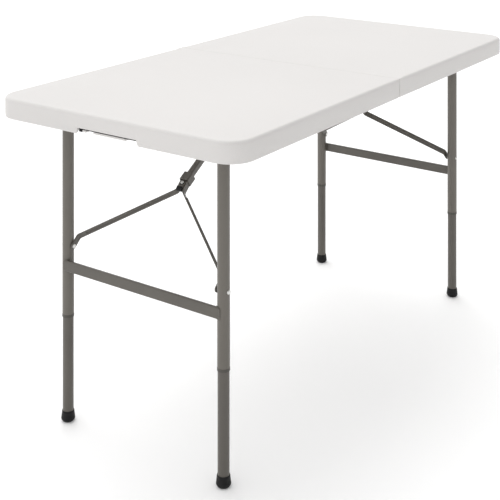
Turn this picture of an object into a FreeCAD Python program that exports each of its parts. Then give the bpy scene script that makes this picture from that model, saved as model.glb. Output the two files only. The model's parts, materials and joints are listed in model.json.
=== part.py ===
import FreeCAD, Part
import math
import os

# A fold-in-half picnic table. Origin on the floor under the middle of the top.
# +X runs along the length, +Y across the width, +Z up. Millimetres and degrees.
# The left half is modelled; most right-half pieces are its mirror image across X = 0.

# ---- driving sizes -------------------------------------------------------------
LENGTH = 1219.0
WIDTH = 610.0
HEIGHT = 675.0
RIM_DEPTH = 41.0
PLATE = 9.0                  # solid thickness of the moulded top
SKIRT = 8.0                  # thickness of the rim wall
CORNER_RADIUS = 52.0
EDGE_ROUND = 6.0
FOLD_GAP = 1.5               # space between the two halves

LEG_X = 505.0                # leg axis from the fold line
LEG_Y = 199.0                # leg axis from the centre line
UPPER_TUBE = (24.0, 22.6)    # outer and inner diameter
LOWER_TUBE = (22.5, 20.1)
SEAM_Z = 221.0               # lower end of the upper tubes
OVERLAP = 60.0               # how far the lower tube reaches inside the upper one
FOOT_TOP = 25.0
FOOT_WIDE = 28.6
CROSSBAR_Z = 323.0
CROSSBAR_TALL = 22.0
CROSSBAR_THICK = 7.0
CROSSBAR_WALL = 1.2
CROSSBAR_OFF = 6.8           # bar's inboard face from the legs' centre line, clear of the folded link

BRACE_Z = 362.0              # rivet that joins a brace arm to a leg
BRACKET_X = 112.0            # bracket pin from the fold line
ARM_LENGTH = 193.0           # leg rivet to apex rivet
ARM_THICK = 2.5
ARM_TALL = 13.0
ARM_BEND = 7.0
ARM_PLATE = 27.0             # flat end of an arm, from the apex rivet to the bend
ARM_FOOT = 22.0              # flat end of an arm, from the leg rivet to the bend
ARM_RIB = (6.0, 2.0)         # width and height of the rib pressed into the slanting part
LINK_WIDE = 13.0
LINK_TALL = 13.0
LINK_TAIL = 22.0             # how far the link runs on below the apex rivet
RING_X = (-6.0, 14.0)        # ends of the lock ring along the link, from the apex rivet
RING_WALL = 1.5
RIVET = 6.0                  # shank of the brace rivets
SHEET = 1.5                  # folded sheet of the link and the rails

PIVOT_DROP = 15.0            # leg pivot and bracket pin below the underside of the plate
PIVOT_TUBE = (22.0, 19.6)
PIVOT_STUB = 11.0            # stub of the plug that turns in the bush
BRACKET_PIN = 8.0
RAIL_WIDE = 14.0
RAIL_ENDS = (-564.0, -60.0)
SCREW = 4.0
SCREW_HEAD = 8.0

HINGE_Y = 256.0
HINGE_WIDE = 50.0
LEAF_LONG = 42.0
LEAF_THICK = 2.0
KNUCKLE = 9.0
KNUCKLE_SPLIT = 10.0         # half length of the middle knuckle
HINGE_PIN = 5.0

STRIP_THICK = 3.0            # dark strip behind the left notch
STRIP_Z = (641.0, 652.0)

HANDLE_X = 592.0
HANDLE_WIDE = 112.0
HANDLE_BAR = 13.0
HANDLE_REACH = 69.0
HANDLE_PIN = 8.0

# ---- sizes that follow from them -------------------------------------------------
END = LENGTH / 2
SIDE = WIDTH / 2
RIM_Z = HEIGHT - RIM_DEPTH
UNDER_Z = HEIGHT - PLATE     # underside of the plate
PIVOT_Z = UNDER_Z - PIVOT_DROP
HINGE_Z = RIM_Z - 0.5
HANDLE_Z = RIM_Z + 2.0
FOLD_FACE = FOLD_GAP / 2
LEG_RADIUS = UPPER_TUBE[0] / 2
LEG_DROP = PIVOT_Z - BRACE_Z
BRACKET_RUN = LEG_X - BRACKET_X
LINK_LENGTH = ARM_LENGTH + BRACKET_RUN - LEG_DROP   # so that the folded brace lies in one line
ARM_Y = LEG_Y - LEG_RADIUS - 1.5 - ARM_THICK / 2    # brace arm beside the leg
APEX_Y = LINK_WIDE / 2 + 0.25 + ARM_THICK / 2       # brace arm beside the link
STACK = APEX_Y + ARM_THICK / 2                      # outer face of an arm at the apex
EAR_IN = LINK_WIDE / 2 + 0.6                        # inner face of a bracket ear
EAR_OUT = EAR_IN + 2.0
RAIL_OUT = SIDE - SKIRT - 1.0
RAIL_IN = RAIL_OUT - RAIL_WIDE
CLEAR = 0.05                 # radial clearance of a turning or sliding fit


def V(x, y, z):
    return FreeCAD.Vector(x, y, z)


# ---- small shape helpers ---------------------------------------------------------
def block(x, y, z):
    """A box from three (low, high) pairs."""
    low = V(min(x), min(y), min(z))
    return Part.makeBox(max(x) - min(x), max(y) - min(y), max(z) - min(z), low)


def rod(diameter, start, end):
    return Part.makeCylinder(diameter / 2, (end - start).Length, start, end - start)


def tube(diameters, start, end):
    outer, inner = diameters
    return rod(outer, start, end).cut(rod(inner, start, end))


def rod_y(diameter, x, z, y0, y1):
    return rod(diameter, V(x, min(y0, y1), z), V(x, max(y0, y1), z))


def join(shapes):
    first = shapes[0]
    rest = list(shapes[1:])
    return first.fuse(rest).removeSplitter() if rest else first


def group(shapes):
    """Separate solids kept together in one node."""
    return Part.makeCompound(shapes)


def both_sides(shape):
    """The shape and its mirror image across the centre line."""
    return [shape, shape.mirror(V(0, 0, 0), V(0, 1, 0))]


def to_right(shape):
    return shape.mirror(V(0, 0, 0), V(1, 0, 0))


def prism(points, direction):
    wire = Part.makePolygon(points + [points[0]])
    return Part.Face(wire).extrude(direction)


def dome(diameter, height, base, direction):
    """A low rounded rivet or screw head that stands on base."""
    head = Part.makeCylinder(diameter / 2, height, base, direction)
    return head.makeFillet(height * 0.6, [top_edge(head, direction)])


def top_edge(shape, direction):
    return max(shape.Edges, key=lambda edge: edge.BoundBox.Center.dot(direction))


# ---- brace geometry --------------------------------------------------------------
def apex_point():
    """Where the arms meet the link with the leg down, on the left half: (x, z)."""
    bx, bz = -LEG_X, BRACE_Z
    dx, dz = -BRACKET_X, PIVOT_Z
    span = math.hypot(dx - bx, dz - bz)
    along = (ARM_LENGTH ** 2 - LINK_LENGTH ** 2 + span ** 2) / (2 * span)
    aside = math.sqrt(ARM_LENGTH ** 2 - along ** 2)
    ux, uz = (dx - bx) / span, (dz - bz) / span
    return bx + along * ux - aside * uz, bz + along * uz + aside * ux


APEX_X, APEX_Z = apex_point()
LINK_ANGLE = math.degrees(math.atan2(PIVOT_Z - APEX_Z, -BRACKET_X - APEX_X))
ARM_ANGLE = math.degrees(math.atan2(APEX_Z - BRACE_Z, APEX_X + LEG_X))


def place(shape, x, z, angle):
    """Tilt a shape drawn along +X up by angle and put its origin at (x, 0, z)."""
    moved = shape.copy()
    moved.rotate(V(0, 0, 0), V(0, 1, 0), -angle)
    moved.translate(V(x, 0, z))
    return moved


# ---- table top -------------------------------------------------------------------
def side_line(start, stop):
    return Part.LineSegment(V(*start, 0), V(*stop, 0)).toShape()


def corner_arc(start, middle, stop):
    return Part.Arc(V(*start, 0), V(*middle, 0), V(*stop, 0)).toShape()


def half_outline(inset, fold_x, radius):
    """Face of the left half seen from above, at z = 0."""
    left, right = -END + inset, -fold_x
    low, high = -SIDE + inset, SIDE - inset
    k = radius * (1 - math.sqrt(0.5))
    low_start, low_middle, low_stop = (left + radius, low), (left + k, low + k), (left, low + radius)
    high_start, high_middle = (left, high - radius), (left + k, high - k)
    high_stop = (left + radius, high)
    edges = [
        side_line((right, low), low_start),
        corner_arc(low_start, low_middle, low_stop),
        side_line(low_stop, high_start),
        corner_arc(high_start, high_middle, high_stop),
        side_line(high_stop, (right, high)),
        side_line((right, high), (right, low)),
    ]
    return Part.Face(Part.Wire(edges))


def slab(face, z0, z1):
    solid = face.extrude(V(0, 0, z1 - z0))
    solid.translate(V(0, 0, z0))
    return solid


def outer_edges(solid, z):
    """Edges of the outline at height z, apart from the one on the fold line."""
    chosen = []
    for edge in solid.Edges:
        box = edge.BoundBox
        flat = abs(box.ZMin - z) < 0.01 and abs(box.ZMax - z) < 0.01
        if flat and box.XMin < -FOLD_FACE - 1:
            chosen.append(edge)
    return chosen


def kiss_off_dimples():
    """Round hollows in the underside where the two moulded skins come together."""
    pitch, diameter, depth = 62.0, 53.0, 6.5
    columns, rows = 9, 9
    dimples = []
    for i in range(columns):
        for j in range(rows):
            x = -58.0 - pitch * i
            y = (j - (rows - 1) / 2) * pitch
            dimples.append(rod(diameter, V(x, y, UNDER_Z - 1), V(x, y, UNDER_Z + depth)))
    return group(dimples)


def bosses():
    """Solid pads that carry the hinge leaves and the brace bracket."""
    hinge_pad = block((-52, -FOLD_FACE), (HINGE_Y - 34, SIDE - 5), (RIM_Z, UNDER_Z + 1))
    bracket_pad = block((-BRACKET_X - 45, -BRACKET_X + 45), (-34, 34), (UNDER_Z, UNDER_Z + 7))
    return both_sides(hinge_pad) + [bracket_pad]


def handle_notch():
    """Shallow cut in the end wall that leaves room for the handle."""
    deep = 11.0
    wide, narrow = 79.0, 73.0
    x = -END - 1
    points = [V(x, -wide, RIM_Z - 1), V(x, wide, RIM_Z - 1),
              V(x, narrow, RIM_Z + deep), V(x, -narrow, RIM_Z + deep)]
    return prism(points, V(SKIRT + 2, 0, 0))


def hinge_recess():
    knuckle = block((-9, 1), (HINGE_Y - 27, HINGE_Y + 27), (RIM_Z - 1, RIM_Z + 7))
    leaf = block((-42, 1), (HINGE_Y - 25, HINGE_Y + 25), (RIM_Z - 1, RIM_Z + 2))
    return both_sides(knuckle) + both_sides(leaf)


def screw_places():
    """Each panel screw as (x, y, height of the surface its head bears on)."""
    rail_y = (RAIL_OUT + RAIL_IN) / 2 - 1
    places = []
    for sign in (-1, 1):
        for x in (-548, -420, -240, -80):
            places.append((x, sign * rail_y, UNDER_Z - SHEET))
        for y in (HINGE_Y - 15, HINGE_Y + 15):
            places.append((-30, sign * y, RIM_Z))
        for x in (-BRACKET_X - 36, -BRACKET_X + 36):
            places.append((x, sign * 22, UNDER_Z - 2))
    return places


def screw(x, y, z):
    shank = rod(SCREW, V(x, y, z), V(x, y, z + 7))
    head = dome(SCREW_HEAD, 1.8, V(x, y, z), V(0, 0, -1))
    return join([shank, head])


def screw_holes():
    return [rod(SCREW, V(x, y, z - 1), V(x, y, z + 7)) for x, y, z in screw_places()]


def half_top():
    body = slab(half_outline(0, FOLD_FACE, CORNER_RADIUS), RIM_Z, HEIGHT)
    body = body.makeFillet(EDGE_ROUND, outer_edges(body, HEIGHT))
    body = body.makeFillet(2.0, outer_edges(body, RIM_Z))
    hollow = slab(half_outline(SKIRT, FOLD_FACE + SKIRT, CORNER_RADIUS - SKIRT), RIM_Z - 1, UNDER_Z)
    body = body.cut(hollow).cut(kiss_off_dimples())
    body = body.fuse(bosses())
    return body.cut([handle_notch()] + hinge_recess())


def notch_ledges():
    """Moulded ledges inside the left end wall, behind and under the dark strip."""
    wall = -END + SKIRT
    ledges = []
    for y_range in ((-43, 38), (57, 66)):
        behind = block((wall + STRIP_THICK, wall + 11), y_range, (RIM_Z + 3, UNDER_Z + 1))
        toe = block((wall - 1, wall + STRIP_THICK), y_range, (RIM_Z + 3, STRIP_Z[0]))
        ledges.append(behind.fuse(toe))
    return ledges


def notch_strip():
    """Dark strip across the left notch, with a deeper end piece at one side."""
    x = (-END + SKIRT, -END + SKIRT + STRIP_THICK)
    strip = block(x, (-68, 76), STRIP_Z)
    end_piece = block(x, (68.5, 76), (RIM_Z + 2.5, STRIP_Z[1]))
    return join([strip, end_piece])


def rail():
    """Steel channel screwed under one long side, open towards the middle."""
    low = RIM_Z + 3
    web = block(RAIL_ENDS, (RAIL_OUT - SHEET, RAIL_OUT), (low, UNDER_Z))
    upper_flange = block(RAIL_ENDS, (RAIL_IN, RAIL_OUT), (UNDER_Z - SHEET, UNDER_Z))
    lower_flange = block(RAIL_ENDS, (RAIL_IN, RAIL_OUT), (low, low + SHEET))
    channel = join([web, upper_flange, lower_flange])
    return channel.cut(rod_y(16.0, -LEG_X, PIVOT_Z, RAIL_OUT - 5, RAIL_OUT + 5))


# ---- centre hinge ----------------------------------------------------------------
def hinge_leaf():
    """Left leaf: a plate with two outer knuckles."""
    low, high = HINGE_Y - HINGE_WIDE / 2, HINGE_Y + HINGE_WIDE / 2
    split = KNUCKLE_SPLIT + 0.3
    plate = block((-LEAF_LONG, -4), (low, high), (RIM_Z, RIM_Z + LEAF_THICK))
    barrel = rod_y(KNUCKLE, 0, HINGE_Z, low, high)
    gap = block((-6, 6), (HINGE_Y - split, HINGE_Y + split), (HINGE_Z - 6, HINGE_Z + 6))
    pin_hole = rod_y(HINGE_PIN, 0, HINGE_Z, low - 5, high + 5)
    return join([plate, barrel]).cut([gap, pin_hole])


def hinge_leaf_right():
    """Right leaf: a plate with one middle knuckle that turns on the pin."""
    low, high = HINGE_Y - HINGE_WIDE / 2, HINGE_Y + HINGE_WIDE / 2
    split = KNUCKLE_SPLIT - 0.3
    plate = block((4, LEAF_LONG), (low, high), (RIM_Z, RIM_Z + LEAF_THICK))
    for y_range in ((low - 1, HINGE_Y - split), (HINGE_Y + split, high + 1)):
        plate = plate.cut(block((3, 6), y_range, (RIM_Z - 1, RIM_Z + LEAF_THICK + 1)))
    barrel = rod_y(KNUCKLE, 0, HINGE_Z, HINGE_Y - split, HINGE_Y + split)
    pin_hole = rod_y(HINGE_PIN + 2 * CLEAR, 0, HINGE_Z, low, high)
    return join([plate, barrel]).cut(pin_hole)


def hinge_pin():
    half = HINGE_WIDE / 2
    pin = rod_y(HINGE_PIN, 0, HINGE_Z, HINGE_Y - half, HINGE_Y + half)
    heads = [dome(7.5, 1.5, V(0, HINGE_Y + s * half, HINGE_Z), V(0, s, 0)) for s in (-1, 1)]
    return join([pin] + heads)


# ---- leg frame -------------------------------------------------------------------
def pivot_tube():
    reach = RAIL_IN - 2
    return tube(PIVOT_TUBE, V(-LEG_X, -reach, PIVOT_Z), V(-LEG_X, reach, PIVOT_Z))


def pivot_plug():
    """End plug of the pivot tube, with the stub that turns in the bush."""
    reach = RAIL_IN - 2
    plug = rod_y(PIVOT_TUBE[1], -LEG_X, PIVOT_Z, reach - 14, reach)
    collar = rod_y(PIVOT_TUBE[0] - 1, -LEG_X, PIVOT_Z, reach, reach + 2)
    stub = rod_y(PIVOT_STUB, -LEG_X, PIVOT_Z, reach, RAIL_OUT + 0.5)
    return join([plug, collar, stub])


def pivot_bush():
    ring = rod_y(16.0, -LEG_X, PIVOT_Z, RAIL_OUT - SHEET, RAIL_OUT)
    flange = rod_y(20.0, -LEG_X, PIVOT_Z, RAIL_OUT - SHEET - 3, RAIL_OUT - SHEET)
    bore = rod_y(PIVOT_STUB + 2 * CLEAR, -LEG_X, PIVOT_Z, RAIL_OUT - 8, RAIL_OUT + 2)
    return join([ring, flange]).cut(bore)


def upper_leg(y):
    leg = tube(UPPER_TUBE, V(-LEG_X, y, SEAM_Z), V(-LEG_X, y, PIVOT_Z))
    return leg.cut(rod_y(PIVOT_TUBE[0], -LEG_X, PIVOT_Z, y - 30, y + 30))


def lower_leg(y):
    return tube(LOWER_TUBE, V(-LEG_X, y, 4), V(-LEG_X, y, SEAM_Z + OVERLAP))


def leg_collar(y):
    """Thin plastic ring at the lower end of the upper tube."""
    sizes = (UPPER_TUBE[0] + 0.6, LOWER_TUBE[0] + 2 * CLEAR)
    return tube(sizes, V(-LEG_X, y, SEAM_Z - 6), V(-LEG_X, y, SEAM_Z))


def foot(y):
    """Flared plastic cup pushed onto the lower tube, with a bevelled bottom edge."""
    wide = FOOT_WIDE / 2
    bevel_wide, bevel_tall = 3.0, 4.5
    skirt = Part.makeCone(wide - bevel_wide, wide, bevel_tall, V(-LEG_X, y, 0))
    cup = Part.makeCone(wide, 12.8, FOOT_TOP - bevel_tall, V(-LEG_X, y, bevel_tall))
    socket = rod(LOWER_TUBE[0], V(-LEG_X, y, 4), V(-LEG_X, y, 60))
    return join([skirt, cup]).cut(socket)


def crossbar():
    """Flat bar across the outboard faces of both legs, coped around the tubes."""
    outboard = -LEG_X - CROSSBAR_OFF - CROSSBAR_THICK
    half = CROSSBAR_TALL / 2
    low, high = CROSSBAR_Z - half, CROSSBAR_Z + half
    bar = block((outboard, outboard + CROSSBAR_THICK), (-LEG_Y, LEG_Y), (low, high))
    long_edges = [e for e in bar.Edges if e.BoundBox.YLength > LEG_Y]
    bar = bar.makeFillet(2.5, long_edges)
    wall = CROSSBAR_WALL
    hollow = block((outboard + wall, outboard + CROSSBAR_THICK - wall), (-LEG_Y - 1, LEG_Y + 1),
                   (low + wall, high - wall))
    bar = bar.cut(hollow)
    return bar.cut([leg_space(-LEG_Y), leg_space(LEG_Y)])


def leg_space(y):
    """The room that an upper leg takes, for coping what is fixed to it."""
    return rod(UPPER_TUBE[0], V(-LEG_X, y, SEAM_Z), V(-LEG_X, y, PIVOT_Z))


def leg_rivet(y):
    """Outer rivet head and inner spacer of the brace rivet on one leg."""
    s = 1 if y > 0 else -1
    outer = dome(9.0, 3.2, V(-LEG_X, y + s * (LEG_RADIUS - 1), BRACE_Z), V(0, s, 0))
    inner = rod_y(8.0, -LEG_X, BRACE_Z, y - s * (LEG_RADIUS - 2), y - s * (LEG_RADIUS + 1.3))
    return [outer.cut(leg_space(y)), inner.cut(leg_space(y))]


# ---- brace -----------------------------------------------------------------------
def bent_strip(points, radius, thick, tall):
    """A flat bar on edge that follows points in XY, with round bends."""
    sides = ([], [])
    last = len(points) - 1
    tangents = [(points[i + 1] - points[i]).normalize() for i in range(last)]
    for k, sign in ((0, 1), (1, -1)):
        def shifted(point, tangent):
            return point + V(-tangent.y, tangent.x, 0) * (sign * thick / 2)
        here = shifted(points[0], tangents[0])
        for i in range(1, last):
            t0, t1 = tangents[i - 1], tangents[i]
            turn = t0.getAngle(t1)
            cut_back = radius * math.tan(turn / 2)
            start, stop = points[i] - t0 * cut_back, points[i] + t1 * cut_back
            left_turn = 1 if (t0.x * t1.y - t0.y * t1.x) > 0 else -1
            centre = start + V(-t0.y, t0.x, 0) * (left_turn * radius)
            arc_radius = radius - left_turn * sign * thick / 2
            middle = centre + (points[i] - centre).normalize() * arc_radius
            a, b = shifted(start, t0), shifted(stop, t1)
            sides[k].append(Part.LineSegment(here, a).toShape())
            sides[k].append(Part.Arc(a, middle, b).toShape())
            here = b
        sides[k].append(Part.LineSegment(here, shifted(points[-1], tangents[-1])).toShape())
    cap_a = Part.LineSegment(sides[0][0].Vertexes[0].Point, sides[1][0].Vertexes[0].Point).toShape()
    cap_b = Part.LineSegment(sides[0][-1].Vertexes[-1].Point, sides[1][-1].Vertexes[-1].Point).toShape()
    edges = Part.sortEdges(sides[0] + sides[1] + [cap_a, cap_b])[0]
    strip = Part.Face(Part.Wire(edges)).extrude(V(0, 0, tall))
    strip.translate(V(0, 0, -tall / 2))
    return strip


def arm_rib(start, stop, sign):
    """The rib between two bends: (the round bead on the outboard face, the hollow behind it)."""
    wide, high = ARM_RIB
    margin = 18.0
    along = (stop - start).normalize()
    outboard = V(-along.y, along.x, 0) * (-sign)
    radius = ((wide / 2) ** 2 + high ** 2) / (2 * high)
    first, last = start + along * margin, stop - along * margin
    centre = outboard * (ARM_THICK / 2 + high - radius)
    bead = rod(2 * radius, first + centre, last + centre)
    corners = [first, last, last + outboard * radius, first + outboard * radius]
    outer_side = prism([point - V(0, 0, radius) for point in corners], V(0, 0, 2 * radius))
    behind = centre - outboard * ARM_THICK
    hollow = rod(2 * radius, first + behind, last + behind)
    return bead.common(outer_side), hollow


def arm(sign):
    """One brace arm, drawn from the apex (origin) back to the leg rivet along -X."""
    end = -ARM_LENGTH
    upper_bend = V(-ARM_PLATE, sign * APEX_Y, 0)
    lower_bend = V(end + ARM_FOOT, sign * ARM_Y, 0)
    points = [V(8, sign * APEX_Y, 0), upper_bend, lower_bend, V(end - 8, sign * ARM_Y, 0)]
    bead, hollow = arm_rib(upper_bend, lower_bend, sign)
    strip = bent_strip(points, ARM_BEND, ARM_THICK, ARM_TALL)
    strip = strip.fuse(bead).cut(hollow)
    r = ARM_TALL / 2
    outline = join([block((end, 0), (-SIDE, SIDE), (-r, r)),
                    rod_y(ARM_TALL, 0, 0, -SIDE, SIDE), rod_y(ARM_TALL, end, 0, -SIDE, SIDE)])
    apex_hole = rod_y(RIVET + 2 * CLEAR, 0, 0, -30, 30)
    leg_hole = rod_y(RIVET, end, 0, -SIDE, SIDE)
    shape = strip.common(outline).cut([apex_hole, leg_hole])
    return place(shape, APEX_X, APEX_Z, ARM_ANGLE)


def arm_rivet(sign):
    """The arm's own part of the leg rivet: a shank in the arm and a domed head."""
    inside, outside = ARM_Y - ARM_THICK / 2, ARM_Y + ARM_THICK / 2
    shank = rod_y(RIVET, -ARM_LENGTH, 0, sign * inside, sign * outside)
    head = dome(9.0, 2.0, V(-ARM_LENGTH, sign * inside, 0), V(0, -sign, 0))
    return place(join([shank, head]), APEX_X, APEX_Z, ARM_ANGLE)


def upper_link():
    """Channel from the apex (origin) to the bracket pin along +X, open below, with rounded shoulders."""
    half = LINK_WIDE / 2
    rise = LINK_TALL / 2
    body = block((-LINK_TAIL, LINK_LENGTH), (-half, half), (-rise + 1, rise))
    shoulders = [e for e in body.Edges if e.BoundBox.XLength > 50 and e.BoundBox.ZMin > rise - 1]
    body = body.makeFillet(2.2, shoulders)
    bore = half - SHEET
    inside = block((-LINK_TAIL - 1, LINK_LENGTH + 1), (-bore, bore), (-rise, rise - SHEET))
    top_end = block((LINK_LENGTH - 12, LINK_LENGTH + 1), (-half - 1, half + 1), (rise - 4, rise + 1))
    body = body.cut([inside, top_end])
    eyes = []
    for x in (0, LINK_LENGTH):
        eyes += both_sides(rod_y(LINK_TALL, x, 0, half - SHEET, half))
    shape = join([body] + eyes)
    pin_hole = rod_y(BRACKET_PIN + 2 * CLEAR, LINK_LENGTH, 0, -30, 30)
    shape = shape.cut([pin_hole, rod_y(RIVET, 0, 0, -30, 30)])
    return place(shape, APEX_X, APEX_Z, LINK_ANGLE)


def link_cap():
    """Plastic cap with a round nose, pushed into the link's lower end."""
    half = LINK_WIDE / 2
    rise = LINK_TALL / 2
    slack = 0.05
    nose = rod_y(LINK_TALL, -LINK_TAIL, 0, -half, half)
    nose = nose.common(block((-LINK_TAIL - LINK_TALL, -LINK_TAIL), (-half, half), (-rise, rise)))
    bore = half - SHEET - slack
    plug = block((-LINK_TAIL, -LINK_TAIL + 9), (-bore, bore), (-rise + 1, rise - SHEET - slack))
    return place(nose.fuse(plug), APEX_X, APEX_Z, LINK_ANGLE)


def apex_rivet():
    """Rivet with flush ends, so that the lock ring can pass over it."""
    return place(rod_y(RIVET, 0, 0, -STACK, STACK), APEX_X, APEX_Z, LINK_ANGLE)


def lock_ring():
    """Rectangular band that slides along the link and locks the apex by covering it."""
    arm_lean = math.radians(ARM_ANGLE - LINK_ANGLE)
    half = STACK + 0.3
    rise = ARM_TALL / 2 - RING_X[0] * math.sin(arm_lean) + 0.5
    wall = RING_WALL
    band = block(RING_X, (-half - wall, half + wall), (-rise - wall, rise + wall))
    corners = [e for e in band.Edges if e.BoundBox.XLength > 10]
    inner = block((RING_X[0] - 5, RING_X[1] + 5), (-half, half), (-rise, rise))
    bore_corners = [e for e in inner.Edges if e.BoundBox.XLength > 10]
    band = band.makeFillet(2.6, corners).cut(inner.makeFillet(1.0, bore_corners))
    return place(band, APEX_X, APEX_Z, LINK_ANGLE)


def bracket():
    """Folded steel bracket under the top that carries the link's pin."""
    x = (-BRACKET_X - 42, -BRACKET_X + 42)
    base = block(x, (-32, 32), (UNDER_Z - 2, UNDER_Z))
    ears = []
    for s in (-1, 1):
        y0, y1 = s * EAR_IN, s * EAR_OUT
        points = [V(-BRACKET_X - 16, y0, UNDER_Z - 1), V(-BRACKET_X + 16, y0, UNDER_Z - 1),
                  V(-BRACKET_X + 7, y0, PIVOT_Z), V(-BRACKET_X - 7, y0, PIVOT_Z)]
        ears.append(prism(points, V(0, y1 - y0, 0)))
        ears.append(rod_y(14.0, -BRACKET_X, PIVOT_Z, y0, y1))
    slot = EAR_IN - 0.1
    opening = block((-BRACKET_X - 14, -BRACKET_X + 14), (-slot, slot), (UNDER_Z - 3, UNDER_Z + 1))
    return join([base] + ears).cut([opening, rod_y(BRACKET_PIN, -BRACKET_X, PIVOT_Z, -30, 30)])


def bracket_pin():
    pin = rod_y(BRACKET_PIN, -BRACKET_X, PIVOT_Z, -EAR_OUT, EAR_OUT)
    heads = [dome(11.0, 2.5, V(-BRACKET_X, s * EAR_OUT, PIVOT_Z), V(0, s, 0)) for s in (-1, 1)]
    return join([pin] + heads)


# ---- carrying handle, under the right end ----------------------------------------
def handle():
    """Moulded loop that lies under the top and swings out past the end."""
    half = HANDLE_WIDE / 2
    bar = HANDLE_BAR
    low = HANDLE_Z - bar / 2
    x_end = HANDLE_X - HANDLE_REACH
    outer = block((x_end, HANDLE_X), (-half, half), (low, low + bar))
    upright = [e for e in outer.Edges if e.BoundBox.ZLength > 5 and e.BoundBox.XMax < HANDLE_X - 1]
    outer = outer.makeFillet(bar, upright)
    inner = block((x_end + bar, HANDLE_X + 1), (-half + bar, half - bar), (low - 1, low + bar + 1))
    loop = outer.cut(inner)
    ends = both_sides(rod_y(bar, HANDLE_X, HANDLE_Z, half - bar, half))
    pins = both_sides(rod_y(HANDLE_PIN, HANDLE_X, HANDLE_Z, half, half + 11))
    return join([loop] + ends + pins)


def handle_clip():
    """Plastic block that holds one pin of the handle."""
    y = (HANDLE_WIDE / 2 + 0.8, HANDLE_WIDE / 2 + 12.8)
    body = block((HANDLE_X - 8, HANDLE_X + 7), y, (HANDLE_Z, UNDER_Z))
    eye = rod_y(14.0, HANDLE_X, HANDLE_Z, y[0], y[1])
    return join([body, eye]).cut(rod_y(HANDLE_PIN + 2 * CLEAR, HANDLE_X, HANDLE_Z, y[0] - 1, y[1] + 1))


# ---- write every piece -----------------------------------------------------------
def left_pieces():
    """Pieces of the left half that the right half repeats as a mirror image."""
    holes = screw_holes()
    pieces = {
        "panel": half_top().cut(holes),
        "rail_front": both_sides(rail())[1].cut(holes),
        "rail_back": rail().cut(holes),
        "screws": group([screw(*place_) for place_ in screw_places()]),
        "brace_bracket": bracket().cut(holes),
        "bracket_pin": bracket_pin(),
        "pivot_bushes": group(both_sides(pivot_bush())),
        "pivot_tube": pivot_tube(),
        "pivot_plugs": group(both_sides(pivot_plug())),
        "crossbar": crossbar(),
        "leg_collars": group([leg_collar(-LEG_Y), leg_collar(LEG_Y)]),
        "leg_rivets": group(leg_rivet(-LEG_Y) + leg_rivet(LEG_Y)),
        "upper_link": upper_link(),
        "link_cap": link_cap(),
        "apex_rivet": apex_rivet(),
        "lock_ring": lock_ring(),
        "arm_rivets": group([arm_rivet(-1), arm_rivet(1)]),
    }
    for side, sign in (("front", -1), ("back", 1)):
        pieces["upper_leg_" + side] = upper_leg(sign * LEG_Y)
        pieces["lower_leg_" + side] = lower_leg(sign * LEG_Y)
        pieces["foot_" + side] = foot(sign * LEG_Y)
        pieces["arm_" + side] = arm(sign)
    return pieces


def all_pieces():
    pieces = {}
    for name, shape in left_pieces().items():
        pieces["left_" + name] = shape
        pieces["right_" + name] = to_right(shape)
    pieces["left_panel"] = pieces["left_panel"].fuse(notch_ledges())
    pieces["left_notch_strip"] = notch_strip()
    holes = screw_holes()
    right_holes = [to_right(hole) for hole in holes]
    pieces["left_hinge_leaves"] = group(both_sides(hinge_leaf().cut(holes)))
    pieces["right_hinge_leaves"] = group(both_sides(hinge_leaf_right().cut(right_holes)))
    pieces["hinge_pins"] = group(both_sides(hinge_pin()))
    pieces["handle"] = handle()
    pieces["handle_clips"] = group(both_sides(handle_clip()))
    return pieces


def main():
    os.makedirs("parts", exist_ok=True)
    for name, shape in all_pieces().items():
        shape.exportStep("parts/" + name + ".step")


main()
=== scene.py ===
"""Looks for a fold-in-half picnic table: moulded halves, feet, handle, welds, finishes, light and camera."""
import json
import math

import bmesh
import bpy
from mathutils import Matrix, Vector


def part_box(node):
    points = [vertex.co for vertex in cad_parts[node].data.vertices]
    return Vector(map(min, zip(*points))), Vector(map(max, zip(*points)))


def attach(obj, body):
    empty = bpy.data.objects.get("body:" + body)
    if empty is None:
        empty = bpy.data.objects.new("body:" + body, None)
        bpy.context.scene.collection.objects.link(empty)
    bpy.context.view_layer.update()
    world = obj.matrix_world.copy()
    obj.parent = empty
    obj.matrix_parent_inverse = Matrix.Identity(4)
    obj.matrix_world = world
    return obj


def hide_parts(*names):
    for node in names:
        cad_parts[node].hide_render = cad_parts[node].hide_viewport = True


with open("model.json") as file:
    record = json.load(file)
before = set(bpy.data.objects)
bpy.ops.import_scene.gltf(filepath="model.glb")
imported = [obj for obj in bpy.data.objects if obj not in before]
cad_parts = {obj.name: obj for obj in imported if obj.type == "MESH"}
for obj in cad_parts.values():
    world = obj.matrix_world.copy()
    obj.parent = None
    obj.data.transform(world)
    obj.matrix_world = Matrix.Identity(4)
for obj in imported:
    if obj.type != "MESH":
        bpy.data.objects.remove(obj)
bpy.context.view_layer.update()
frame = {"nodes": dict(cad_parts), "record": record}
MM = 0.001
SIDES = ("left", "right")

# ---- colours, linear ------------------------------------------------------------
WHITE_TOP = (0.624, 0.607, 0.594)
TAUPE = (0.081, 0.0735, 0.0625)
BLACK = (0.0065, 0.0065, 0.007)
ZINC = (0.66, 0.66, 0.64)
FLOOR_WHITE = (0.93, 0.93, 0.93)
FLOOR_GLOW = 0.075

SLOT_OF_FINISH = {
    "top": "moulded_top",
    "steel": "steel_frame",
    "zinc": "zinc_fasteners",
    "collar": "collar_plastic",
    "black": "black_plastic",
}

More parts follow.
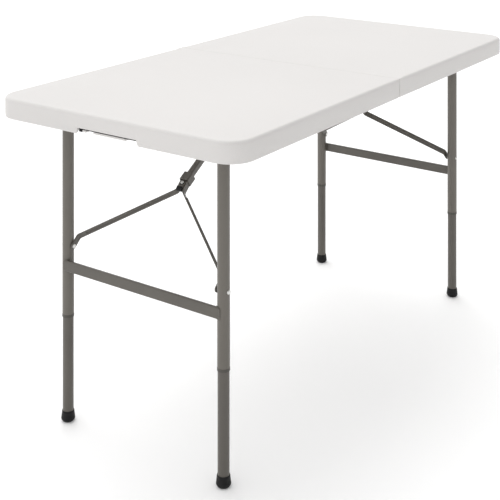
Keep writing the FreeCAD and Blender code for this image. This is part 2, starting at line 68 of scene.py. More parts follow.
# ---- sizes taken from the CAD frame, and the moulded details ----------------------
PANEL_LOW, PANEL_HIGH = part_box("left_panel")
END = -PANEL_LOW.x
FOLD_FACE = -PANEL_HIGH.x - 0.35 * MM   # the moulded skins stand slightly closer than the CAD solids
SIDE = PANEL_HIGH.y
TOP_Z = PANEL_HIGH.z
RIM_Z = PANEL_LOW.z
UNDER_Z = TOP_Z - 9.0 * MM   # underside of the plate
WALL = 8.0 * MM
CORNER = 52.0 * MM
CORNER_STEPS = 14
BOTTOM_ROUND = 2.0 * MM      # outer round of the rim's bottom edge
INNER_ROUND = 1.4 * MM       # and its inner one
ROLL = 6.5 * MM              # round of the top edge
FOLD_ROLL = 0.8 * MM         # round of the top edge along the fold
FOLD_CORNER = 4.5 * MM       # round of the upright corners beside the fold
FOLD_SHARES = (              # distance past that corner in millimetres, and share of the fold's tight round
    (3.0, 0.85), (6.0, 0.5), (9.0, 0.15), (12.0, 0.0), (20.0, 0.0),
)
PARTING = 4.6 * MM           # height of the mould's parting step above the rim's bottom edge
STEP = 0.5 * MM              # depth of that step

NOTCH_HIGH = 11.0 * MM
NOTCH_WIDE = 79.5 * MM       # half width of the notch at the rim's bottom edge
NOTCH_RAMP = 6.5 * MM
NOTCH_STEPS = 6
HINGE_MIDDLE = 256.0 * MM    # from the table's middle to the middle of a hinge
RECESS_HALF = 27.0 * MM
RECESS_HIGH = 7.0 * MM

CELL = 62.0 * MM             # pitch of the kiss-off dimples
CELLS = 9                    # in each direction
FIRST_CELL = 58.0 * MM       # first row of dimples from the fold line
DIMPLE_PROFILE = (           # radius and depth of the dimple's rings, in millimetres
    (27.6, 0.0), (26.8, 0.15), (26.0, 0.8), (25.2, 2.2), (24.3, 4.2), (23.0, 5.7), (21.2, 6.4), (19.0, 6.5),
)

PAD_FAR = 52.0 * MM          # the hinge pads end this far from the fold
PAD_ALONG = (222.0 * MM, 300.0 * MM)
PAD_ROUND = 1.2 * MM
LEDGE_SPANS = ((-43.0 * MM, 38.0 * MM), (57.0 * MM, 66.0 * MM))   # runs of the ledges across the notch
LEDGE_DEEP = 11.0 * MM
LEDGE_LIFT = 3.0 * MM        # above the rim's bottom edge
TOE_HIGH = 7.3 * MM


# ---- material helpers -------------------------------------------------------------
class Nodes:
    """A node tree with short calls to add and join nodes."""

    def __init__(self, name):
        self.material = bpy.data.materials.new(name)
        self.material.use_nodes = True
        self.tree = self.material.node_tree
        self.shader = self.tree.nodes["Principled BSDF"]
        coords = self.tree.nodes.new("ShaderNodeTexCoord")
        self.place = coords.outputs["Object"]

    def add(self, kind, **values):
        node = self.tree.nodes.new(kind)
        for key, value in values.items():
            socket = key.replace("_", " ").title()
            if socket in node.inputs:
                node.inputs[socket].default_value = value
            else:
                setattr(node, key, value)
        return node

    def link(self, source, target):
        self.tree.links.new(source, target)

    def noise(self, scale, detail=3.0, roughness=0.5):
        node = self.add("ShaderNodeTexNoise", scale=scale, detail=detail, roughness=roughness)
        self.link(self.place, node.inputs["Vector"])
        return node.outputs["Fac"]

    def cells(self, scale, smooth=0.3):
        node = self.add("ShaderNodeTexVoronoi", feature="SMOOTH_F1", scale=scale, smoothness=smooth)
        self.link(self.place, node.inputs["Vector"])
        return node.outputs["Distance"]

    def ramp(self, fac, low, high, start=0.0, stop=1.0):
        """Maps start..stop of a value onto low..high."""
        node = self.tree.nodes.new("ShaderNodeMapRange")
        node.inputs["From Min"].default_value = start
        node.inputs["From Max"].default_value = stop
        node.inputs["To Min"].default_value = low
        node.inputs["To Max"].default_value = high
        self.link(fac, node.inputs["Value"])
        return node.outputs["Result"]

    def mix(self, fac, first, second):
        """Blends two colours, each a tuple or another node's output."""
        node = self.tree.nodes.new("ShaderNodeMix")
        node.data_type = "RGBA"
        for socket, value in ((node.inputs[6], first), (node.inputs[7], second)):
            if isinstance(value, tuple):
                socket.default_value = (*value, 1.0)
            else:
                self.link(value, socket)
        self.link(fac, node.inputs[0])
        return node.outputs[2]

    def add_up(self, first, second, share):
        """The first value plus a share of the second."""
        node = self.tree.nodes.new("ShaderNodeMath")
        node.operation = "MULTIPLY_ADD"
        self.link(second, node.inputs[0])
        node.inputs[1].default_value = share
        self.link(first, node.inputs[2])
        return node.outputs[0]

    def bump(self, height, strength, distance):
        node = self.tree.nodes.new("ShaderNodeBump")
        node.inputs["Strength"].default_value = strength
        node.inputs["Distance"].default_value = distance
        self.link(height, node.inputs["Height"])
        self.link(node.outputs["Normal"], self.shader.inputs["Normal"])

    def edge_wear(self, start=0.52, stop=0.60):
        """Near 1 on convex edges, near 0 elsewhere."""
        geometry = self.tree.nodes.new("ShaderNodeNewGeometry")
        return self.ramp(geometry.outputs["Pointiness"], low=0.0, high=1.0, start=start, stop=stop)

    def set(self, **values):
        """Sets inputs of the shader by name, with underscores for spaces."""
        for key, value in values.items():
            self.shader.inputs[key.replace("_", " ")].default_value = value


def shade(colour, factor):
    return tuple(min(1.0, c * factor) for c in colour)


def make_top():
    """Blow-moulded white plastic with a fine leather-like pebble."""
    n = Nodes("moulded_top")
    clouds = n.ramp(n.noise(scale=2.2, detail=4.0), low=0.0, high=1.0, start=0.35, stop=0.65)
    colour = n.mix(clouds, shade(WHITE_TOP, 0.985), shade(WHITE_TOP, 1.015))
    scuffs = n.ramp(n.noise(scale=38.0, detail=6.0, roughness=0.7), low=0.0, high=0.35, start=0.60, stop=0.74)
    colour = n.mix(scuffs, colour, shade(WHITE_TOP, 0.95))
    n.link(colour, n.shader.inputs["Base Color"])
    n.link(n.ramp(n.noise(scale=9.0, detail=5.0), low=0.46, high=0.60), n.shader.inputs["Roughness"])
    pebble = n.cells(scale=620.0, smooth=0.6)
    grain = n.noise(scale=1500.0, detail=2.0)
    n.bump(n.add_up(pebble, grain, share=0.35), strength=0.42, distance=0.0006)
    n.set(Subsurface_Weight=0.05, Subsurface_Scale=0.003, Specular_IOR_Level=0.42)
    n.shader.inputs["Subsurface Radius"].default_value = (1.0, 0.9, 0.8)
    return n.material


def make_steel():
    """Taupe powder coat with an orange-peel skin and a little rub on the edges."""
    n = Nodes("powder_coat")
    patches = n.ramp(n.noise(scale=14.0, detail=4.0), low=0.0, high=1.0, start=0.3, stop=0.7)
    colour = n.mix(patches, shade(TAUPE, 0.90), shade(TAUPE, 1.12))
    specks = n.ramp(n.noise(scale=900.0, detail=2.0), low=0.0, high=0.6, start=0.62, stop=0.75)
    colour = n.mix(specks, colour, shade(TAUPE, 1.6))
    wear = n.ramp(n.edge_wear(), low=0.0, high=0.45)
    colour = n.mix(wear, colour, shade(TAUPE, 2.1))
    n.link(colour, n.shader.inputs["Base Color"])
    n.link(n.ramp(n.noise(scale=60.0, detail=4.0), low=0.30, high=0.42), n.shader.inputs["Roughness"])
    peel = n.add_up(n.noise(scale=480.0, detail=2.0), n.noise(scale=1600.0, detail=1.0), share=0.4)
    n.bump(peel, strength=0.20, distance=0.0005)
    n.set(Metallic=0.10, Coat_Weight=0.15, Coat_Roughness=0.28)
    return n.material


def make_zinc():
    """Bright zinc plate with fine scratches."""
    n = Nodes("zinc_plate")
    haze = n.noise(scale=260.0, detail=5.0, roughness=0.65)
    n.link(n.mix(haze, shade(ZINC, 0.82), shade(ZINC, 1.15)), n.shader.inputs["Base Color"])
    n.link(n.ramp(haze, low=0.18, high=0.42), n.shader.inputs["Roughness"])
    n.bump(n.noise(scale=1400.0, detail=3.0), strength=0.12, distance=0.0003)
    n.set(Metallic=1.0)
    return n.material


def make_black():
    """Black moulded plastic with a spark-eroded grain."""
    n = Nodes("black_plastic")
    dust = n.ramp(n.noise(scale=45.0, detail=6.0, roughness=0.7), low=0.0, high=0.5, start=0.55, stop=0.8)
    n.link(n.mix(dust, BLACK, shade(BLACK, 2.3)), n.shader.inputs["Base Color"])
    n.link(n.ramp(n.noise(scale=90.0, detail=3.0), low=0.38, high=0.55), n.shader.inputs["Roughness"])
    n.bump(n.cells(scale=1100.0, smooth=0.5), strength=0.3, distance=0.0004)
    n.set(Specular_IOR_Level=0.22)
    return n.material


def make_collar():
    """Plastic collar moulded in the frame's colour."""
    n = Nodes("collar_plastic")
    n.link(n.mix(n.noise(scale=120.0), shade(TAUPE, 0.72), shade(TAUPE, 0.88)), n.shader.inputs["Base Color"])
    n.link(n.ramp(n.noise(scale=80.0), low=0.42, high=0.55), n.shader.inputs["Roughness"])
    n.bump(n.noise(scale=1000.0), strength=0.15, distance=0.0003)
    return n.material


MATERIALS = {
    "top": make_top(),
    "steel": make_steel(),
    "zinc": make_zinc(),
    "black": make_black(),
    "collar": make_collar(),
}


def paint(obj, finish):
    """Gives a CAD node or a new piece its finish; only a new piece has no material slot yet."""
    if not obj.material_slots:
        obj.data.materials.append(None)
    obj.material_slots[0].material = MATERIALS[finish]


# ---- mesh helpers -----------------------------------------------------------------
def mirrored(bm, side):
    """The mesh is drawn for the left half, and the right half is its mirror image."""
    if side == "right":
        bmesh.ops.scale(bm, verts=bm.verts, vec=(-1, 1, 1))
    return bm


def make_piece(name, bm, finish, body, nodes=(), sharp=38.0):
    """Turns a bmesh into a shown piece on a CAD body; edges over the sharp angle, in degrees, stay crisp."""
    bmesh.ops.recalc_face_normals(bm, faces=bm.faces)
    for face in bm.faces:
        face.smooth = True
    limit = math.radians(sharp)
    for edge in bm.edges:
        if len(edge.link_faces) == 2 and edge.calc_face_angle(0.0) > limit:
            edge.smooth = False
    mesh = bpy.data.meshes.new(name)
    bm.to_mesh(mesh)
    bm.free()
    obj = bpy.data.objects.new(name, mesh)
    bpy.context.scene.collection.objects.link(obj)
    paint(obj, finish)
    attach(obj, body)
    if nodes:
        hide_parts(*nodes)
    return obj


def ring_of(bm, points):
    """New vertices at the points."""
    return [bm.verts.new(point) for point in points]


def bridge(bm, first, second):
    """Faces between two closed rings with the same number of vertices."""
    count = len(first)
    for i in range(count):
        j = (i + 1) % count
        bm.faces.new((first[i], first[j], second[j], second[i]))


def loft(bm, rings, close_start=True, close_end=True):
    """Skins a list of rings of points, and closes its ends."""
    made = [ring_of(bm, ring) for ring in rings]
    for first, second in zip(made, made[1:]):
        bridge(bm, first, second)
    if close_start:
        bm.faces.new(made[0])
    if close_end:
        bm.faces.new(made[-1])
    return made


def lathe(bm, profile, centre, axis, steps=48, flute=None):
    """Turns (radius, height) pairs around an axis through centre; flute(height, step) trims the radius."""
    turn = Vector((0, 0, 1)).rotation_difference(Vector(axis)).to_matrix()
    rings = []
    for radius, height in profile:
        ring = []
        for k in range(steps):
            angle = 2 * math.pi * k / steps
            r = radius - (flute(height, k) if flute else 0.0)
            ring.append(Vector(centre) + turn @ Vector((r * math.cos(angle), r * math.sin(angle), height)))
        rings.append(ring)
    return loft(bm, rings)


def soft_box(bm, x, y, z, round_by):
    """A box from three (low, high) pairs with rounded edges."""
    made = bmesh.ops.create_cube(bm, size=1.0)["verts"]
    for vert in made:
        for axis, (low, high) in enumerate((x, y, z)):
            vert.co[axis] = low if vert.co[axis] < 0 else high
    edges = {edge for vert in made for edge in vert.link_edges}
    bmesh.ops.bevel(bm, geom=list(edges), offset=round_by, segments=3, profile=0.5, affect="EDGES")


def sweep(bm, path, section, up=(0, 0, 1)):
    """Carries a closed section of (across, upward) pairs along a path; section may depend on the step."""
    rings = []
    last = len(path) - 1
    for i, point in enumerate(path):
        ahead = Vector(path[min(i + 1, last)]) - Vector(path[max(i - 1, 0)])
        across = ahead.cross(Vector(up)).normalized()
        rise = across.cross(ahead).normalized()
        rings.append([Vector(point) + across * u + rise * v for u, v in section(i)])
    return loft(bm, rings)


def smooth_step(t):
    """Rises gently from 0 to 1."""
    t = min(1.0, max(0.0, t))
    return t * t * (3 - 2 * t)


# ---- moulded halves ---------------------------------------------------------------
def notch_lift(y):
    """Height of the rim's bottom edge above the rest at a place along the end wall."""
    return NOTCH_HIGH * smooth_step((NOTCH_WIDE - abs(y)) / NOTCH_RAMP)


def recess_lift(y):
    """Height of the rim's bottom edge above the rest at a place along the fold."""
    inside = abs(abs(y) - HINGE_MIDDLE) < RECESS_HALF
    return RECESS_HIGH if inside else 0.0


def half_stations():
    """Stations around one half for y > 0, from the fold line to the middle of the end wall.

    Each is (kind, value, fold share, lift): the share is 1 where the tight round of the fold applies.
    """
    edge = 0.3 * MM
    stations = []
    for y in (HINGE_MIDDLE - RECESS_HALF - edge, HINGE_MIDDLE - RECESS_HALF + edge,
              HINGE_MIDDLE + RECESS_HALF - edge, HINGE_MIDDLE + RECESS_HALF + edge):
        stations.append(("fold", y, 1.0, recess_lift(y)))
    for k in range(4):
        stations.append(("fold corner", math.radians(30 * k), 1.0, 0.0))
    for gap, share in FOLD_SHARES:
        stations.append(("long", gap * MM, share, 0.0))
    for k in range(CORNER_STEPS + 1):
        stations.append(("corner", math.radians(90.0 * k / CORNER_STEPS), 0.0, 0.0))
    for k in range(NOTCH_STEPS + 1):
        y = NOTCH_WIDE - NOTCH_RAMP * k / NOTCH_STEPS
        stations.append(("end", y, 0.0, notch_lift(y)))
    return stations


def station_place(station, inset):
    """Place in plan of a station on the outline moved inwards by inset."""
    kind, value = station[0], station[1]
    if kind == "fold":
        return -(FOLD_FACE + inset), value
    if kind == "fold corner":
        x = -(FOLD_FACE + inset + FOLD_CORNER * (1 - math.cos(value)))
        return x, SIDE - inset - FOLD_CORNER * (1 - math.sin(value))
    if kind == "long":
        return -(FOLD_FACE + inset + FOLD_CORNER + value), SIDE - inset
    if kind == "corner":
        reach = CORNER - inset
        return -(END - CORNER + reach * math.sin(value)), SIDE - CORNER + reach * math.cos(value)
    return -(END - inset), value


def rim_ring(profile):
    """One ring around the half; profile(share, lift) gives its (inset, height)."""
    upper = []
    for station in half_stations():
        inset, z = profile(station[2], station[3])
        x, y = station_place(station, inset)
        upper.append(Vector((x, y, z)))
    lower = [Vector((p.x, -p.y, p.z)) for p in reversed(upper)]
    return upper + lower


def roll_radius(share):
    """Round of the top edge; it tightens towards the fold."""
    return ROLL * (1 - share) + FOLD_ROLL * share


def top_roll(angle):
    """Profile of one ring of the rounded top edge."""
    def profile(share, lift):
        radius = roll_radius(share)
        return radius * (1 - math.sin(angle)), TOP_Z - radius * (1 - math.cos(angle))
    return profile


def at_rim(inset, rise):
    """A profile measured from the rim's bottom edge, which lifts over the notch and the hinges."""
    return lambda share, lift: (inset, RIM_Z + lift + rise)


def shell_profiles():
    """Every ring of the moulding, from the flat of the top around the rim to the underside."""
    rings = [lambda share, lift: (roll_radius(share) + 2.0 * MM, TOP_Z)]
    rings += [top_roll(math.radians(15 * k)) for k in range(7)]
    rings.append(lambda share, lift: (0.0, TOP_Z - ROLL - 1.5 * MM))
    rings += [at_rim(0.0, PARTING + STEP), at_rim(0.2 * MM, PARTING + 0.2 * MM), at_rim(STEP, PARTING)]
    for angle in (0, 22.5, 45, 67.5, 90):
        a = math.radians(angle)
        rings.append(at_rim(STEP + BOTTOM_ROUND * (1 - math.cos(a)), BOTTOM_ROUND * (1 - math.sin(a))))
    rings += [at_rim(WALL - INNER_ROUND, 0.0), at_rim(WALL - 0.4 * MM, 0.4 * MM), at_rim(WALL, INNER_ROUND)]
    rings.append(lambda share, lift: (WALL, UNDER_Z - 1.2 * MM))
    rings.append(lambda share, lift: (WALL + 0.25 * MM, UNDER_Z - 0.3 * MM))
    rings.append(lambda share, lift: (WALL + 0.9 * MM, UNDER_Z))
    return rings


def square_points():
    """Thirty-two places around a square of half width 1."""
    per_side = 8
    points = []
    for k in range(per_side):
        t = -1 + 2 * k / per_side
        points.append((t, -1.0))
    for k in range(per_side):
        points.append((1.0, -1 + 2 * k / per_side))
    for k in range(per_side):
        points.append((1 - 2 * k / per_side, 1.0))
    for k in range(per_side):
        points.append((-1.0, 1 - 2 * k / per_side))
    return points


def add_cell(bm, x, y, hollow):
    """One cell of the underside: flat, or with a soft round dimple where the two skins meet."""
    square = square_points()
    border = ring_of(bm, [(x + u * CELL / 2, y + v * CELL / 2, UNDER_Z) for u, v in square])
    if not hollow:
        bm.faces.new(border)
        return
    outer = border
    for radius, depth in DIMPLE_PROFILE:
        points = []
        for u, v in square:
            length = math.hypot(u, v)
            reach = radius / length * MM
            points.append((x + u * reach, y + v * reach, UNDER_Z + depth * MM))
        inner = ring_of(bm, points)
        bridge(bm, outer, inner)
        outer = inner
    bm.faces.new(outer)


def moulded_half():
    """The left half: dimpled underside, rim and top, joined into one closed skin."""
    bm = bmesh.new()
    for i in range(CELLS):
        for j in range(CELLS):
            under_bracket = i < 2 and j == CELLS // 2
            add_cell(bm, -FIRST_CELL - CELL * i, (j - CELLS // 2) * CELL, not under_bracket)
    bmesh.ops.remove_doubles(bm, verts=bm.verts, dist=0.01 * MM)
    loft(bm, [rim_ring(profile) for profile in shell_profiles()], close_end=False)
    open_edges = [edge for edge in bm.edges if len(edge.link_faces) == 1]
    bmesh.ops.triangle_fill(bm, edges=open_edges, use_beauty=True)
    return bm


def add_hinge_pads(bm):
    """Solid blocks inside the rim that carry the hinge leaves."""
    x = (-PAD_FAR, -FOLD_FACE - WALL - 0.2 * MM)
    z = (RIM_Z + 0.6 * MM, UNDER_Z + 2.0 * MM)
    for sign in (-1, 1):
        y = sorted(sign * place for place in PAD_ALONG)
        soft_box(bm, x, y, z, PAD_ROUND)


def add_ledges(bm):
    """Pale ledges behind and under the dark strip in the notch."""
    strip_low, strip_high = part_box("left_notch_strip")
    behind = (strip_high.x + 0.1 * MM, -END + WALL + LEDGE_DEEP)
    toe = (strip_low.x - 1.2 * MM, strip_high.x + 2.0 * MM)
    bottom = RIM_Z + LEDGE_LIFT
    for y in LEDGE_SPANS:
        soft_box(bm, behind, y, (bottom, UNDER_Z + 1.0 * MM), 1.2 * MM)
        soft_box(bm, toe, y, (bottom, RIM_Z + TOE_HIGH), 1.0 * MM)


def make_halves():
    for side in SIDES:
        body = side + "_half"
        make_piece(side + "_shell", mirrored(moulded_half(), side), "top", body, [side + "_panel"])
        pads = bmesh.new()
        add_hinge_pads(pads)
        make_piece(side + "_hinge_pads", mirrored(pads, side), "top", body)
    ledges = bmesh.new()
    add_ledges(ledges)
    make_piece("notch_ledges", ledges, "top", "left_half")


# ---- feet -------------------------------------------------------------------------
FOOT_PROFILE = (             # radius and height in millimetres, from the middle of the base to the socket
    (0.6, 1.2), (6.4, 1.2), (7.6, 0.0), (10.8, 0.0), (11.5, 0.5), (13.9, 4.0), (14.3, 5.0), (14.3, 6.4),
    (13.9, 6.9), (13.9, 7.7), (14.05, 8.1), (13.9, 8.9), (12.95, 17.2), (12.85, 17.8), (12.85, 18.3),
    (12.55, 20.6), (12.2, 21.6), (11.9, 21.8), (11.6, 21.7), (11.35, 21.3), (11.35, 14.0), (0.6, 14.0),
)
FLUTE_BAND = (8.8, 17.3)     # heights of the grooved band, in millimetres
FLUTE_DEEP = 0.35 * MM
FOOT_STEPS = 96


def foot_flute(height, step):
    """Depth of the upright grooves: two steps of every four."""
    in_band = FLUTE_BAND[0] * MM < height < FLUTE_BAND[1] * MM
    return FLUTE_DEEP if in_band and step % 4 >= 2 else 0.0


def make_feet():
    profile = [(radius * MM, height * MM) for radius, height in FOOT_PROFILE]
    for side in SIDES:
        for place in ("front", "back"):
            node = f"{side}_foot_{place}"
            low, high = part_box(node)
            centre = ((low.x + high.x) / 2, (low.y + high.y) / 2, 0.0)
            bm = bmesh.new()
            lathe(bm, profile, centre, (0, 0, 1), FOOT_STEPS, foot_flute)
            make_piece(f"{side}_cup_{place}", bm, "black", side + "_lower_legs", [node])


# ---- handle -----------------------------------------------------------------------
BAR = 13.0 * MM
BAR_CORNER = 2.8 * MM        # round of the bar's section
BEND = 9.0 * MM
PIN_LENGTH = 11.0 * MM
GRIP_HALF = 34.0 * MM        # half length of the ribbed grip
RIB_PITCH = 4.0 * MM
RIB_STEPS = 4                # steps of the path for one rib
GROOVE = 0.45 * MM
PIN_PROFILE = (              # radius and distance from the middle plane, in millimetres: arm end, then pin
    (0.3, 43.2), (6.1, 43.2), (6.6, 43.8), (6.6, 55.3), (6.1, 55.9), (4.0, 56.0), (4.0, 66.2), (3.4, 66.9),
    (0.3, 66.9),
)


def rounded_square(half, corner, steps=4):
    points = []
    for quarter in range(4):
        for k in range(steps + 1):
            angle = math.pi / 2 * (quarter + k / steps)
            centre_x = (half - corner) * (1 if quarter in (0, 3) else -1)
            centre_y = (half - corner) * (1 if quarter in (0, 1) else -1)
            points.append((centre_x + corner * math.cos(angle), centre_y + corner * math.sin(angle)))
    return points


def handle_path(low, high):
    """Centre line of the loop: along one arm from its pin, round a corner, across the grip and back."""
    half = BAR / 2
    x_pin, x_grip = high.x - half, low.x + half
    y_arm = (high.y - low.y) / 2 - PIN_LENGTH - half
    z = (low.z + high.z) / 2
    arm = [(x_pin, y_arm, z), (x_grip + BEND + 1 * MM, y_arm, z)]
    for k in range(9):
        angle = math.radians(90 * k / 8)
        arm.append((x_grip + BEND - BEND * math.sin(angle), y_arm - BEND + BEND * math.cos(angle), z))
    steps = int(2 * GRIP_HALF / RIB_PITCH * RIB_STEPS)
    grip = [(x_grip, GRIP_HALF - 2 * GRIP_HALF * k / steps, z) for k in range(steps + 1)]
    return arm + grip + [(x, -y, height) for x, y, height in reversed(arm)]


def make_handle():
    low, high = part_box("handle")
    path = handle_path(low, high)

    def section(i):
        along = path[i][1]
        on_grip = abs(along) < GRIP_HALF - 1 * MM
        grooved = on_grip and int((along + GRIP_HALF) / RIB_PITCH * RIB_STEPS) % RIB_STEPS in (1, 2)
        return rounded_square(BAR / 2 - (GROOVE if grooved else 0.0), BAR_CORNER)

    bm = bmesh.new()
    sweep(bm, path, section)
    profile = [(radius * MM, height * MM) for radius, height in PIN_PROFILE]
    for sign in (-1, 1):
        lathe(bm, profile, (high.x - BAR / 2, 0, (low.z + high.z) / 2), (0, sign, 0), 32)
    make_piece("handle_loop", bm, "black", "handle", ["handle"])


# ---- welds ------------------------------------------------------------------------
TUBE_RADIUS = 12.0 * MM
BEAD_SEAT = TUBE_RADIUS + 0.9 * MM   # the beads lie on the outside of the leg tube
BEAD = 1.2 * MM
CORNER_BEAD = 1.0 * MM
SADDLE_BEAD = 1.3 * MM
SADDLE_HALF = 10             # half length of a saddle bead across the pivot tube, in millimetres
BEAD_TIP = 0.45              # share of the radius at a bead's ends
RIPPLE = 0.12                # share of the radius
RIPPLE_TURN = 2.1            # radians from one step to the next


def weld_path(points, steps):
    """Points along a polyline, with the same number of steps in each of its parts."""
    path = []
    for start, stop in zip(points, points[1:]):
        for k in range(steps):
            path.append(Vector(start).lerp(Vector(stop), k / steps))
    path.append(Vector(points[-1]))
    return path


def add_bead(bm, points, radius, up, steps):
    """A weld bead: a thin round rope with the ripple of its puddles."""
    path = weld_path(points, steps)
    last = len(path) - 1
    turns = [k * math.pi / 5 for k in range(10)]

    def section(i):
        taper = min(1.0, BEAD_TIP + (1 - BEAD_TIP) * min(i, last - i) / 2)
        size = radius * taper * (1.0 + RIPPLE * math.cos(RIPPLE_TURN * i))
        return [(size * math.cos(a), size * math.sin(a)) for a in turns]

    sweep(bm, path, section, up)


def around_leg(start, stop, z, steps=8):
    """Points on an arc around the origin, between two places in plan."""
    first = math.atan2(start[1], start[0])
    turn = math.atan2(stop[1], stop[0]) - first
    angles = [first + turn * k / steps for k in range(steps + 1)]
    return [(BEAD_SEAT * math.cos(a), BEAD_SEAT * math.sin(a), z) for a in angles]


def saddle(face, pivot):
    """Where one flank of the leg tube meets the pivot tube above it."""
    pivot_z, pivot_radius = pivot
    points = []
    for k in range(-SADDLE_HALF, SADDLE_HALF + 1):
        x = k * MM
        y = face * math.sqrt(BEAD_SEAT ** 2 - x ** 2)
        points.append((x, y, pivot_z - math.sqrt(pivot_radius ** 2 - x ** 2)))
    return points


def leg_beads(bm, place, flip, sign, bar, pivot):
    """Beads of one leg, from the crossbar's (near, far, low, high) and the pivot tube's (height, radius)."""
    near, far, low, high = bar
    seat_y = math.sqrt(BEAD_SEAT ** 2 - near ** 2)
    upright = [(near, -seat_y, low), (near, -seat_y, high)]
    end = [(BEAD_SEAT, 0.0, low + 1 * MM), (BEAD_SEAT, 0.0, high - 1 * MM)]
    runs = [(upright, BEAD, (1, 0, 0), 14), (end, BEAD, (1, 0, 0), 14)]
    for z in (low, high):
        corner = around_leg((near, -seat_y), (far - 1.5 * MM, -2.0 * MM), z)
        runs.append((corner, CORNER_BEAD, (0, 0, 1), 1))
    for face in (-1, 1):
        runs.append((saddle(face, pivot), SADDLE_BEAD, (0, 1, 0), 1))
    for points, radius, up, steps in runs:
        points = [(place[0] + flip * x, sign * (place[1] + y), z) for x, y, z in points]
        add_bead(bm, points, radius, up, steps)


def make_welds():
    for side in SIDES:
        flip = -1 if side == "left" else 1
        bar_low, bar_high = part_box(side + "_crossbar")
        pivot_low, pivot_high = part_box(side + "_pivot_tube")
        leg_low, leg_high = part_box(side + "_upper_leg_back")
        leg_x = (leg_low.x + leg_high.x) / 2
        leg_y = (leg_low.y + leg_high.y) / 2
        reach = sorted(abs(x) - abs(leg_x) for x in (bar_low.x, bar_high.x))
        bar = (reach[0], reach[1], bar_low.z, bar_high.z)
        pivot = ((pivot_low.z + pivot_high.z) / 2, (pivot_high.z - pivot_low.z) / 2)
        bm = bmesh.new()
        for sign in (-1, 1):
            leg_beads(bm, (leg_x, leg_y), flip, sign, bar, pivot)
        make_piece(side + "_weld_beads", bm, "steel", side + "_leg_frame", sharp=80.0)


# ---- studs on the brace links -------------------------------------------------------
STUD_BACK = 12.0 * MM        # from the apex rivet towards the link's free end
LINK_RISE = 6.5 * MM         # half the height of the link's section
STUD_PARTS = (               # name, finish, and outline as radius and height in millimetres
    # the black washer is painted shade: a dark disc for the shadow that the lock ring casts around the stud
    ("link_shade_washer", "black", ((0.5, -0.3), (5.0, -0.3), (5.2, 0.2), (5.0, 0.6), (0.5, 0.6))),
    ("link_stud", "zinc",
     ((0.3, 0.4), (3.4, 0.4), (3.6, 0.9), (3.2, 1.7), (2.2, 2.3), (1.0, 2.6), (0.2, 2.7))),
)


def middle_of(node):
    low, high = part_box(node)
    return (low + high) / 2


def make_studs():
    """A bright stud on a black washer, on the outer face of each link below the lock ring; the washer is painted
    shade, a dark disc where the lock ring's shadow falls around the stud.
    """
    for side in SIDES:
        apex = middle_of(side + "_apex_rivet")
        along = (middle_of(side + "_bracket_pin") - apex).normalized()
        outward = along.cross(Vector((0, 1, 0)))
        if outward.z < 0:
            outward = -outward
        seat = apex - along * STUD_BACK + outward * LINK_RISE
        for name, finish, outline in STUD_PARTS:
            bm = bmesh.new()
            lathe(bm, [(radius * MM, height * MM) for radius, height in outline], seat, outward, 32)
            make_piece(f"{side}_{name}", bm, finish, side + "_link")


# ---- CAD nodes --------------------------------------------------------------------
SHARP = math.radians(35)


def plain_shading():
    """Geometry nodes that shade a mesh smooth, without the normals and sharp edges that came with it."""
    group = bpy.data.node_groups.new("plain_shading", "GeometryNodeTree")
    for direction in ("INPUT", "OUTPUT"):
        group.interface.new_socket("Geometry", in_out=direction, socket_type="NodeSocketGeometry")
    flow = group.nodes.new("NodeGroupInput").outputs[0]
    for shading in ("custom_normal", "sharp_edge"):
        drop = group.nodes.new("GeometryNodeRemoveAttribute")
        drop.inputs["Name"].default_value = shading
        group.links.new(flow, drop.inputs["Geometry"])
        flow = drop.outputs["Geometry"]
    smooth = group.nodes.new("GeometryNodeSetShadeSmooth")
    group.links.new(flow, smooth.inputs["Geometry"])
    group.links.new(smooth.outputs["Geometry"], group.nodes.new("NodeGroupOutput").inputs[0])
    return group


def soften(obj, width, shading):
    """Modifiers that break sharp edges by a small width, or keep them crisp where the width is 0."""
    obj.modifiers.new("shading", "NODES").node_group = shading
    weld = obj.modifiers.new("weld", "WELD")
    weld.merge_threshold = 0.005 * MM
    if width == 0.0:
        split = obj.modifiers.new("split", "EDGE_SPLIT")
        split.split_angle = SHARP
        split.use_edge_sharp = False
        return
    bevel = obj.modifiers.new("bevel", "BEVEL")
    bevel.width = width
    bevel.segments = 2
    bevel.limit_method = "ANGLE"
    bevel.angle_limit = SHARP
    bevel.harden_normals = True


SOFT_EDGES = (               # part of a node's name and how far its edges are broken, in millimetres
    ("upper_leg", 0.0), ("rail", 0.0), ("brace_bracket", 0.0), ("clips", 0.0), ("leaves", 0.0),
    ("rivet", 0.2), ("arm", 0.35), ("link", 0.35), ("lock_ring", 0.3), ("bracket", 0.35),
    ("crossbar", 0.25), ("collars", 0.4), ("leg", 0.25), ("pivot", 0.25), ("bush", 0.4),
)                            # the first row that fits a node counts


def finish_cad_nodes():
    shading = plain_shading()
    finish_of = {slot: finish for finish, slot in SLOT_OF_FINISH.items()}
    slots = {row["node"]: row["material_slot"] for row in frame["record"]["subparts"]}
    for name, obj in frame["nodes"].items():
        paint(obj, finish_of[slots[name]])
        for key, width in SOFT_EDGES:
            if key in name:
                soften(obj, width * MM, shading)
                break


# ---- stage ------------------------------------------------------------------------
FLOOR_HALF = 30.0
FLOOR_DROP = 0.5 * MM        # keeps the feet clear of the floor


def make_floor():
    mesh = bpy.data.meshes.new("floor")
    bm = bmesh.new()
    bmesh.ops.create_grid(bm, x_segments=2, y_segments=2, size=FLOOR_HALF)
    bm.to_mesh(mesh)
    bm.free()
    floor = bpy.data.objects.new("floor", mesh)
    bpy.context.scene.collection.objects.link(floor)
    floor.location.z = -FLOOR_DROP
    material = bpy.data.materials.new("floor")
    material.use_nodes = True
    shader = material.node_tree.nodes["Principled BSDF"]
    shader.inputs["Base Color"].default_value = (*FLOOR_WHITE, 1.0)
    shader.inputs["Roughness"].default_value = 0.8
    shader.inputs["Emission Color"].default_value = (1.0, 1.0, 1.0, 1.0)
    shader.inputs["Emission Strength"].default_value = FLOOR_GLOW
    mesh.materials.append(material)


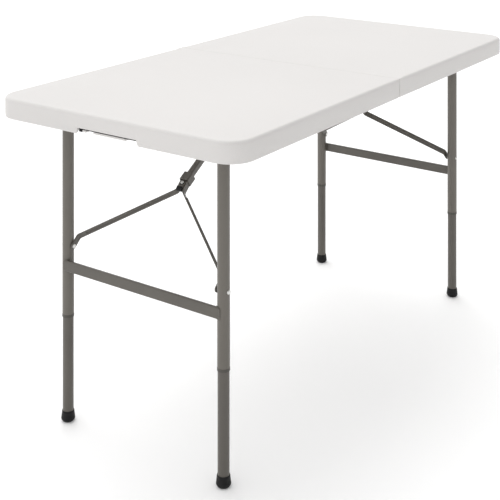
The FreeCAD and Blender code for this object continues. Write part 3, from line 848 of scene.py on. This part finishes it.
BRIGHT_SIDE = (-0.22, 0.90, 0.38)       # direction in which the room is brightest
ROOM_RANGE = (-0.9, 0.50, 0.48, 1.17)   # from and to values of the dot product, darkest and brightest level
BACKDROP_LEVEL = 1.1         # the room as the camera itself sees it
KEY_FROM = (0.35, 0.45, 1.0)
KEY_ENERGY = 1.0
KEY_SPREAD = 50              # degrees


def make_lights():
    """An even white studio with a weak, soft key from behind and to the right."""
    data = bpy.data.lights.new("key", "SUN")
    data.energy = KEY_ENERGY
    data.angle = math.radians(KEY_SPREAD)
    key = bpy.data.objects.new("key", data)
    key.rotation_euler = Vector(KEY_FROM).to_track_quat("Z", "Y").to_euler()
    bpy.context.scene.collection.objects.link(key)
    bpy.context.scene.world = make_studio()


def make_studio():
    """A white room that is darker towards the side that the long near edge faces."""
    world = bpy.data.worlds.new("studio")
    world.use_nodes = True
    tree = world.node_tree
    coords = tree.nodes.new("ShaderNodeTexCoord")
    toward = tree.nodes.new("ShaderNodeVectorMath")
    toward.operation = "DOT_PRODUCT"
    toward.inputs[1].default_value = BRIGHT_SIDE
    level = tree.nodes.new("ShaderNodeMapRange")
    level.interpolation_type = "SMOOTHSTEP"
    for key, value in zip(("From Min", "From Max", "To Min", "To Max"), ROOM_RANGE):
        level.inputs[key].default_value = value
    tree.links.new(coords.outputs["Generated"], toward.inputs[0])
    tree.links.new(toward.outputs["Value"], level.inputs["Value"])
    rays = tree.nodes.new("ShaderNodeLightPath")
    seen = tree.nodes.new("ShaderNodeMix")
    seen.inputs["B"].default_value = BACKDROP_LEVEL
    tree.links.new(rays.outputs["Is Camera Ray"], seen.inputs["Factor"])
    tree.links.new(level.outputs["Result"], seen.inputs["A"])
    background = tree.nodes["Background"]
    background.inputs["Color"].default_value = (1.0, 1.0, 1.0, 1.0)
    tree.links.new(seen.outputs["Result"], background.inputs["Strength"])
    return world


# ---- camera -----------------------------------------------------------------------
CAMERA_PLACE = (-2.140, -1.400, 1.216)
CAMERA_YAW = 34.8            # direction of view, degrees from +X towards +Y
CAMERA_LENS = 78.6
CAMERA_SHIFT = (-0.0043, -0.838)


def make_camera():
    """A level camera with a strong downward shift, so that upright lines stay parallel."""
    data = bpy.data.cameras.new("camera")
    data.sensor_width = 36.0
    data.lens = CAMERA_LENS
    camera = bpy.data.objects.new("camera", data)
    camera.location = CAMERA_PLACE
    camera.rotation_euler = (math.radians(90), 0, math.radians(CAMERA_YAW - 90))
    bpy.context.scene.collection.objects.link(camera)
    bpy.context.scene.camera = camera
    for channel, value in zip(("shift_x", "shift_y"), CAMERA_SHIFT):
        shift_only_here(data, camera, channel, value)


def shift_only_here(data, camera, channel, value):
    """The shift holds for a camera turned by XYZ angles, as here; a view turned by a quaternion stays centred."""
    curve = data.driver_add(channel)
    curve.driver.type = "SUM"
    mode = curve.driver.variables.new()
    mode.type = "SINGLE_PROP"
    mode.targets[0].id = camera
    mode.targets[0].data_path = "rotation_mode"    # reads 1 for XYZ angles and 0 for a quaternion
    curve.modifiers[0].coefficients = (0.0, value)


# ---- build ------------------------------------------------------------------------
finish_cad_nodes()
make_halves()
make_feet()
make_handle()
make_welds()
make_studs()
make_floor()
make_lights()
make_camera()
bpy.context.scene.view_settings.view_transform = "Standard"
